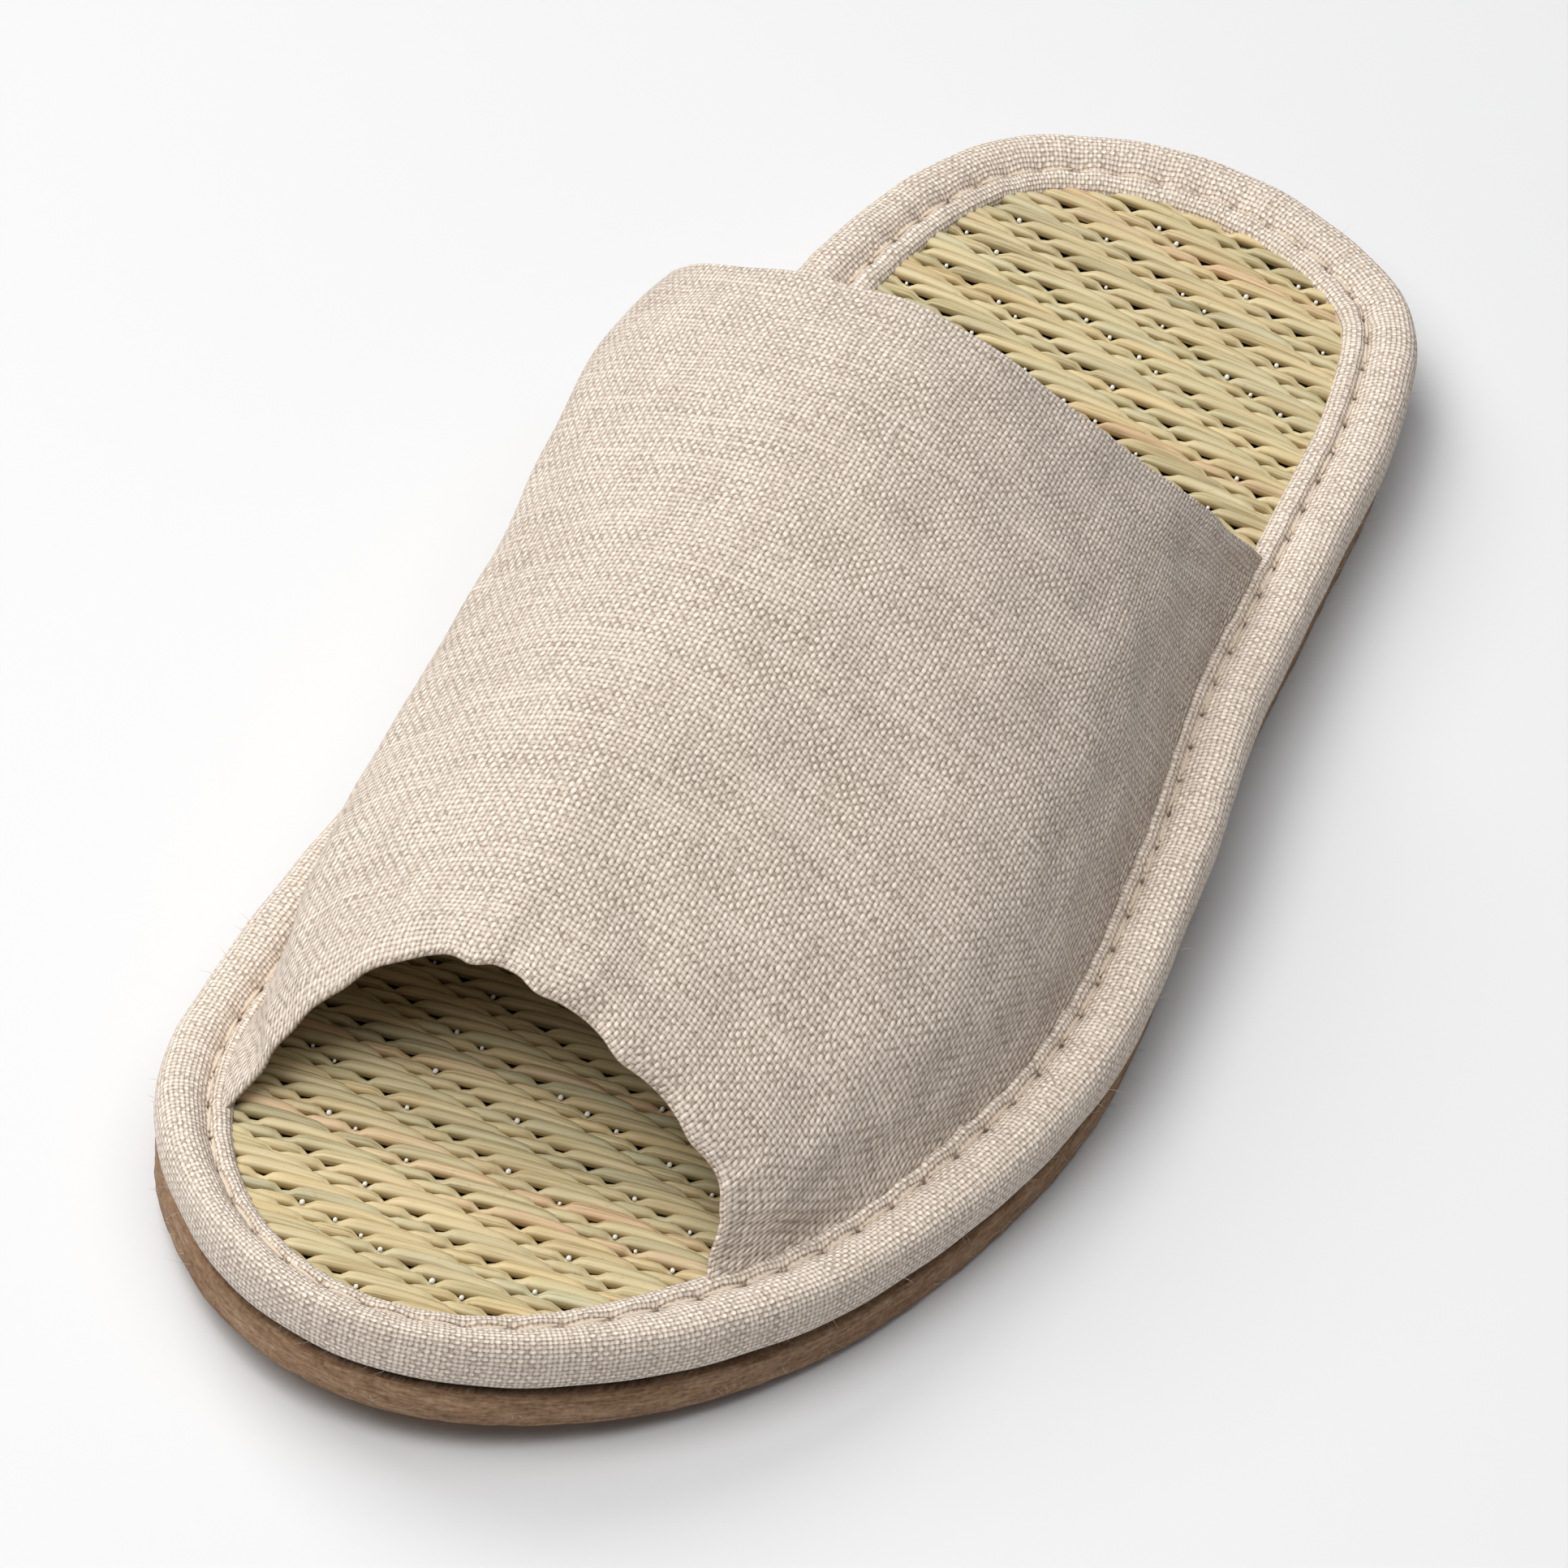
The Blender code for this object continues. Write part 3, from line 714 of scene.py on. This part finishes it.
def make_binding(weave):
    edge, inward, at = edge_track(1300)
    profile = binding_profile()
    inset, height = profile[:, 0], profile[:, 1]
    down = np.concatenate([[0], np.cumsum(np.linalg.norm(np.diff(profile, axis=0), axis=1))])
    valley = down[np.argmin(np.abs(inset - VALLEY_INSET))]
    pitch = stitch_pitch(at[-1])
    turn = 2 * math.pi * at / at[-1]
    slow = sum(size * MM * np.sin(count * turn + RNG.uniform(0, 6.3))
               for count, size in ROLL_WAVES)
    # The roll wanders in and out at its crest, and the stitches draw the valley down
    loose = np.exp(-(((inset - 0.0022) / 0.0028) ** 2))
    pull = np.exp(-(((down - valley) / VALLEY_HALF) ** 2))
    near = (at / pitch % 1.0 - 0.5) * pitch
    dent = np.exp(-((near / PIT_SIZE) ** 2))[:, None] * np.exp(-(((down - valley) / PIT_SIZE) ** 2))[None, :]
    pucker = np.cos(2 * math.pi * near / pitch)[:, None] * pull[None, :] * PUCKER
    drawn = inset[None, :] * binding_share(edge[:, 1])[:, None] - slow[:, None] * loose[None, :]
    xy = edge[:, None, :] + inward[:, None, :] * drawn[..., None]
    z = height[None, :] + lift(xy[..., 1]) - PIT_DEPTH * dent - pucker
    z += 0.8 * slow[:, None] * (loose * (height > RUSH_TOP - 0.001))[None, :]
    points = np.concatenate([xy, z[..., None]], 2)
    uvs = np.stack(np.meshgrid(down, at), 2)
    bm = bmesh.new()
    grid_into(bm, points, uvs, wrap=True)
    material = linen_material("binding_linen", weave, BINDING_THREAD, BINDING_STRETCH, BINDING_PALE,
                              BINDING_DARK, (valley, pitch))
    piece = piece_from("binding_cloth", bm, material)
    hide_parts("binding")


def make_stitches(material):
    """A thread from each needle hole to the next, sunk at its ends, all round the valley."""
    edge, inward, at = edge_track(2600)
    pitch = stitch_pitch(at[-1])
    rows = edge + inward * (VALLEY_INSET * binding_share(edge[:, 1]))[:, None]
    places = []
    for k in range(round(at[-1] / pitch)):
        spots = (k + np.array((0.60, 1.40))) * pitch % at[-1]
        ends = np.array([[np.interp(s, at, rows[:, axis]) for axis in (0, 1)] for s in spots])
        middle = ends.mean(0)
        along = ends[1] - ends[0]
        height = RUSH_BASE + ROLL_HEIGHT - STITCH_SINK + lift(middle[1]) + 0.00008 * RNG.standard_normal()
        turn = math.atan2(along[1], along[0]) + 0.06 * RNG.standard_normal()
        length = np.linalg.norm(along) * RNG.uniform(0.46, 0.53)
        spot = (Matrix.Translation((*middle, height)) @ Matrix.Rotation(turn, 4, "Z")
                @ Matrix.Diagonal((length, *STITCH_HALF, 1.0)))
        places.append(spot @ Matrix.Rotation(math.pi / 2, 4, "Y"))
    piece = bead_piece("binding_stitches", places, 10, material)


# The rush mat

# Albedo of the stems, from straw to green-grey, tan and the few reddish ones, and how often each comes
STEM_TONES = np.array(((0.640, 0.540, 0.330), (0.600, 0.520, 0.310), (0.550, 0.505, 0.330),
                       (0.650, 0.520, 0.295), (0.680, 0.490, 0.310), (0.530, 0.470, 0.290)))
STEM_ODDS = (0.30, 0.24, 0.18, 0.15, 0.06, 0.07)
# Section of a stem, across in half widths and up in half thicknesses
STEM_SECTION = np.array(((-1.0, -0.1), (-0.80, 0.64), (-0.32, 1.0), (0.28, 0.97), (0.78, 0.62), (1.0, -0.1),
                         (0.0, -0.9)))
# Points along a stem for each warp thread, and the warp threads to each side of the middle one
PER_WARP = 4
WARPS_ASIDE = 16
# A stem runs over three warps, under one and over one more before it dives again
WARPS_PER_REPEAT = 5
LESSER_DIP = 0.655
# Along one repeat: place, shift across in rows, and width in rows
FLOW = np.array((0.0, 0.04, 0.12, 0.35, 0.58, 0.655, 0.72, 0.82, 0.93, 1.0))
DRIFT = np.array((-0.16, -0.14, 0.02, 0.12, 0.04, -0.12, -0.24, -0.20, -0.12, -0.16))
BODY = np.array((0.72, 1.00, 1.42, 1.36, 1.16, 0.76, 1.02, 1.22, 1.18, 0.72))
# Half thickness of a stem, its middle's depth, and how far it dives, dives less and humps up between
STEM_HALF = 0.00088
STEM_DEPTH = 0.00098
DIVE = 0.00075
LESSER_DIVE = 0.00060
HUMP = 0.00022
# Knots of tone and of width along a row
TONE_KNOTS = 12
WIDTH_KNOTS = 14
MAT_INSET = 0.0090
# The weave was measured at these two rows, towards the toe and at the heel
TOE_ROW, HEEL_ROW = -0.1019, 0.0900
# Start of the first row on the middle warp, in mm, and the end of the last
FIRST_ROW = (-7.35, -145.0)
ROWS_END = 0.150
# Share of the dives that show a knuckle of warp thread, its half sizes, and how deep it sits
DOT_SHARE = 0.36
DOT_HALF = (0.00031, 0.00038, 0.00033)
DOT_SINK = 0.00060


def mat_step(y):
    """Steps of the weave at y: one warp along a stem, and one row along a warp."""
    share = np.clip((y - TOE_ROW) / (HEEL_ROW - TOE_ROW), -0.2, 1.2)
    stem = np.stack([3.61 + 0.46 * share, 0.84 - 0.74 * share], -1) * MM
    row = np.stack([-0.09 + 0.04 * share, 1.514 + 0.07 * share], -1) * MM
    return stem, row


def mat_rows():
    """Start of each row on the middle warp, from the toe to the heel."""
    at = np.array(FIRST_ROW) * MM
    rows = []
    while at[1] < ROWS_END:
        rows.append(at.copy())
        at = at + mat_step(at[1])[1]
    return np.array(rows)


def inside_edge(points, left, right):
    """Which points lie between the mat's two edges, which meet at toe and heel."""
    y = np.clip(points[..., 1], -LENGTH / 2, LENGTH / 2)
    gap = right(y) - left(y)
    return (points[..., 0] > left(y)) & (points[..., 0] < right(y)) & (gap > 0.004)


def mat_height(x, y, left, right):
    """The mat's top, crowned between its edges."""
    share = np.clip((x - left(y)) / np.maximum(right(y) - left(y), 1e-4), 0, 1)
    return RUSH_TOP + lift(y) + RUSH_CROWN * np.sin(math.pi * share) * np.sin(math.pi * place_of(y))


def add_stem(bm, line, side, width, centre, thick, uv_start, tones):
    """One row's stems as a closed tube of the stem section along their line, with its tones."""
    section = np.concatenate([STEM_SECTION, STEM_SECTION[:1]])
    xy = line[:, None, :] + side[None, None, :] * (section[None, :, 0] * width[:, None] / 2)[..., None]
    z = centre[:, None] + section[None, :, 1] * thick[:, None]
    points = np.concatenate([xy, z[..., None]], 2)
    along = np.concatenate([[0], np.cumsum(np.linalg.norm(np.diff(line, axis=0), axis=1))])
    across = uv_start[0] + np.linspace(0, STEM_UV_WIDTH, len(section))
    uvs = np.stack(np.meshgrid(across, uv_start[1] + along), 2)
    grid_into(bm, points[:, ::-1], uvs[:, ::-1], True, tones)


def make_rush(material):
    """The rows of stems. It gives back the places where a warp thread shows."""
    left, right = edge_x(MAT_INSET, -1), edge_x(MAT_INSET, 1)
    bm = bmesh.new()
    warps = np.arange(-WARPS_ASIDE * PER_WARP, WARPS_ASIDE * PER_WARP + 1) / PER_WARP
    dots = []
    for r, start in enumerate(mat_rows()):
        stem, row = mat_step(start[1])
        line = start[None, :] + warps[:, None] * stem[None, :]
        side = np.array((-stem[1], stem[0])) / np.linalg.norm(stem)
        knots = RNG.choice(len(STEM_TONES), TONE_KNOTS, p=STEM_ODDS)
        spread = RNG.uniform(0.90, 1.08, TONE_KNOTS)
        jitter = RNG.uniform(0.93, 1.08, WIDTH_KNOTS)
        slip = RNG.uniform(-0.04, 0.04)
        keep = inside_edge(line, left, right)
        if keep.sum() < 4:
            continue
        line = line[keep]
        repeat = (warps[keep] + r) / WARPS_PER_REPEAT + slip
        phase = repeat % 1.0
        pitch = row[1]
        knot = repeat - r / WARPS_PER_REPEAT + 5
        each = np.interp(knot, np.arange(WIDTH_KNOTS), jitter)
        width = pitch * np.interp(phase, FLOW, BODY) * each
        middle = line + side[None, :] * (pitch * np.interp(phase, FLOW, DRIFT))[:, None]
        top = mat_height(middle[:, 0], middle[:, 1], left, right)
        dip = np.exp(-((np.minimum(phase, 1 - phase) / 0.045) ** 2))
        lesser = np.exp(-(((phase - LESSER_DIP) / 0.040) ** 2))
        hump = np.sin(math.pi * np.clip(phase / LESSER_DIP, 0, 1)) ** 0.7
        centre = top - STEM_DEPTH - DIVE * dip - LESSER_DIVE * lesser + HUMP * hump * each
        thick = STEM_HALF * (1 - 0.3 * dip - 0.15 * lesser)
        spot = np.clip(knot, 0, 10.99) / 2
        tones = STEM_TONES[knots]
        tone = np.stack([np.interp(spot, np.arange(TONE_KNOTS), tones[:, c]) for c in range(3)], -1)
        tone = tone * np.interp(knot, np.arange(TONE_KNOTS), spread)[:, None]
        add_stem(bm, middle, side, width, centre, thick, (r * STEM_UV_STEP, r * 0.37), tone)
        for j in np.nonzero(phase[:-1] > phase[1:])[0]:
            if RNG.uniform() < DOT_SHARE:
                reach = (line[j + 1] - line[j]) * (1 - phase[j]) * WARPS_PER_REPEAT * PER_WARP
                dots.append((*(line[j] + reach), top[j]))
    piece = piece_from("rush_stems", bm, material)
    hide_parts("rush_insole")
    return dots


def make_warp_thread(dots, material):
    """The white warp thread, where it shows as a short knuckle between two stems."""
    places = []
    for x, y, top in dots:
        size = RNG.uniform(0.65, 1.1)
        turn = RNG.uniform(-0.3, 0.3)
        places.append(Matrix.Translation((x, y, top - DOT_SINK)) @ Matrix.Rotation(turn, 4, "Z")
                      @ Matrix.Diagonal((*(half * size for half in DOT_HALF), 1.0)))
    piece = bead_piece("warp_thread", places, 8, material)


# The sole's sheets, each given by the rings of its rim from the underside up, as inset and height

FOAM_RIM = ((0.0018, 0.0), (0.0012, 0.0003), (0.0010, 0.0009), (0.0009, 0.0022), (0.0010, 0.0036),
            (0.0011, 0.0046), (0.0016, 0.0050))
FOAM_RUFFLE = 0.00003
BOARD_RIM = ((BOARD_INSET, BOARD_BASE), (BOARD_INSET, BOARD_BASE + BOARD_THICKNESS))
PAD_RIM = ((0.0095, RUSH_BASE + 0.0002), (0.0095, RUSH_TOP - 0.0022))


def ring_grid(rings, steps, share_at, ruffle):
    """Points and uvs of a rim's rings round the edge, with the insets taken in share, and ruffled."""
    edge, inward, at = edge_track(steps)
    rows = np.array(rings)
    share = share_at(edge[:, 1])[:, None] if share_at else np.ones((len(edge), 1))
    drawn = share * rows[None, :, 0]
    if ruffle:
        wave = RNG.standard_normal((len(edge) - 1, len(rows)))
        wave = (wave + np.roll(wave, 1, 0) + np.roll(wave, 2, 0)) * ruffle
        drawn = drawn + np.concatenate([wave, wave[:1]])
    xy = edge[:, None, :] + inward[:, None, :] * drawn[..., None]
    z = rows[None, :, 1] + lift(xy[..., 1])
    down = np.concatenate([[0], np.cumsum(np.linalg.norm(np.diff(rows, axis=0), axis=1))])
    return np.concatenate([xy, z[..., None]], 2), np.stack(np.meshgrid(down, at), 2)


def plate_piece(name, rings, steps, material, node=None, share_at=None, ruffle=0.0):
    """A plate from its rim's rings, closed below and above."""
    points, uvs = ring_grid(rings, steps, share_at, ruffle)
    bm = bmesh.new()
    grid_into(bm, points, uvs, wrap=True)
    rim = [edge for edge in bm.edges if edge.is_boundary]
    caps = bmesh.ops.holes_fill(bm, edges=rim, sides=0)["faces"]
    layer = bm.loops.layers.uv.verify()
    for face in caps:
        for loop in face.loops:
            loop[layer].uv = loop.vert.co.xy
    bmesh.ops.triangulate(bm, faces=caps)
    bmesh.ops.recalc_face_normals(bm, faces=bm.faces)
    piece = piece_from(name, bm, material)
    piece.data.set_sharp_from_angle(angle=math.radians(50))
    if node:
        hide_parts(node)


# Stray fibres

HAIRS = 430
HAIR_RADIUS = 0.000035
# Where they leave: height, inset and odds, from the foam up to the top of the roll
HAIR_LEVELS = ((0.0022, 0.0010, 0.34), (0.0068, 0.0012, 0.16), (0.0105, 0.0, 0.22), (0.0142, 0.0030, 0.28))


def add_hair(bm, start, way, length, curl):
    """A thin three-sided hair that leaves along way and curls over."""
    steps = np.linspace(0, 1, 6)
    turn = np.cross(way, (0, 0, 1.0))
    line = start + way * (steps * length)[:, None] + curl * (steps**2 * length)[:, None]
    ring = []
    for angle in (0.0, 2.1, 4.2, 0.0):
        across = np.cross(way, turn)
        ring.append((turn * math.cos(angle) + across * math.sin(angle)) * HAIR_RADIUS)
    points = line[:, None, :] + np.array(ring)[None, :, :] * (1.15 - steps)[:, None, None]
    uvs = np.stack(np.meshgrid(np.linspace(0, 0.001, 4), steps * length), 2)
    grid_into(bm, points, uvs, wrap=True)


def make_hairs(material):
    steps = 900
    edge, inward, _ = edge_track(steps)
    bm = bmesh.new()
    for _ in range(HAIRS):
        k = int(RNG.integers(0, steps))
        level, inset, _ = HAIR_LEVELS[RNG.choice(len(HAIR_LEVELS), p=[odds for _, _, odds in HAIR_LEVELS])]
        start = np.array((*(edge[k] + inward[k] * inset), level + lift(edge[k, 1])))
        out = np.array((*-inward[k], RNG.uniform(-0.2, 0.9 if level > 0.01 else 0.3)))
        out[:2] += RNG.uniform(-0.9, 0.9) * np.array((inward[k, 1], -inward[k, 0]))
        out /= np.linalg.norm(out)
        curl = RNG.uniform(-0.5, 0.5, 3)
        curl[2] = abs(curl[2]) if level < 0.004 else curl[2]
        add_hair(bm, start, out, RNG.uniform(0.0008, 0.0024), curl)
    piece = piece_from("stray_fibres", bm, material)


# Camera, light and floor

CAMERA_PLACE = (0.23215, -0.7516, 0.7179)
CAMERA_AIM = (-0.00325, -0.0214, 0.020)
CAMERA_ROLL = math.radians(11.38)
CAMERA_LENS = 195.0
# Soft boxes that face the slipper: name, place, side, power, colour
LIGHTS = (
    ("key", (-1.20, 0.40, 1.30), 1.2, 20.0, (1.0, 0.985, 0.96)),
    ("overhead", (0.1, -0.35, 2.1), 1.9, 16.0, (1.0, 0.995, 0.985)),
    ("front", (-0.42, -0.82, 1.50), 1.0, 18.0, (1.0, 0.99, 0.97)),
)
WORLD_TONE, WORLD_STRENGTH = (0.95, 0.96, 1.0), 0.15
FLOOR_TONE, FLOOR_HALF = (0.730, 0.738, 0.752), 3.0


def make_camera():
    camera = bpy.data.objects.new("camera", bpy.data.cameras.new("camera"))
    bpy.context.scene.collection.objects.link(camera)
    bpy.context.scene.camera = camera
    camera.data.lens = CAMERA_LENS
    camera.data.sensor_width = 36.0
    camera.location = CAMERA_PLACE
    aim = Vector(CAMERA_AIM) - camera.location
    turn = aim.to_track_quat("-Z", "Y") @ Quaternion((0, 0, 1), CAMERA_ROLL)
    camera.rotation_euler = turn.to_euler()
    camera.data.clip_start, camera.data.clip_end = 0.05, 20.0


def make_light(name, place, side, power, colour):
    data = bpy.data.lights.new(name, "AREA")
    data.shape = "RECTANGLE"
    data.size = data.size_y = side
    data.energy = power
    data.color = colour
    light = bpy.data.objects.new(name, data)
    light.location = place
    light.rotation_euler = (-Vector(place)).to_track_quat("-Z", "Y").to_euler()
    bpy.context.scene.collection.objects.link(light)


def make_stage():
    bm = bmesh.new()
    bmesh.ops.create_grid(bm, x_segments=1, y_segments=1, size=FLOOR_HALF)
    mesh = bpy.data.meshes.new("floor")
    bm.to_mesh(mesh)
    bm.free()
    floor = bpy.data.objects.new("floor", mesh)
    material, tree, shader = new_material("floor", 0.65)
    place = tree.nodes.new("ShaderNodeTexCoord").outputs["Object"]
    colour = ramp(tree, noise(tree, place, 3.0), (0.3, FLOOR_TONE), (0.7, [0.99 * c for c in FLOOR_TONE]))
    tree.links.new(colour, shader.inputs["Base Color"])
    shader.inputs["Specular IOR Level"].default_value = 0.2
    mesh.materials.append(material)
    bpy.context.scene.collection.objects.link(floor)
    world = bpy.data.worlds.new("studio")
    bpy.context.scene.world = world
    world.use_nodes = True
    background = world.node_tree.nodes["Background"]
    background.inputs["Color"].default_value = (*WORLD_TONE, 1)
    background.inputs["Strength"].default_value = WORLD_STRENGTH
    for light in LIGHTS:
        make_light(*light)
    bpy.context.scene.view_settings.view_transform = "Standard"


def main():
    weave, fibres = weave_group(), fibre_group()
    make_upper(linen_material("upper_linen", weave, UPPER_THREAD, UPPER_STRETCH, UPPER_PALE, UPPER_DARK))
    make_binding(weave)
    make_stitches(thread_material("stitch_thread", fibres, *STITCH_TONES, 0.7))
    dots = make_rush(rush_material(fibres))
    make_warp_thread(dots, thread_material("warp_cotton", fibres, *WARP_TONES, 0.7))
    # Pad under the stems, near black as painted shade in the gaps between them
    plate_piece("mat_pad_shade", PAD_RIM, 300, thread_material("mat_pad_shade", fibres, *PAD_SHADE_TONES, 0.9),
                share_at=binding_share)
    plate_piece("foam_sole", FOAM_RIM, 800, foam_material(fibres), node="outsole", ruffle=FOAM_RUFFLE)
    plate_piece("board_edge", BOARD_RIM, 360, board_material(fibres), node="bottom_board")
    make_hairs(thread_material("fibre", fibres, *FIBRE_TONES, 0.8))
    make_stage()
    make_camera()


main()
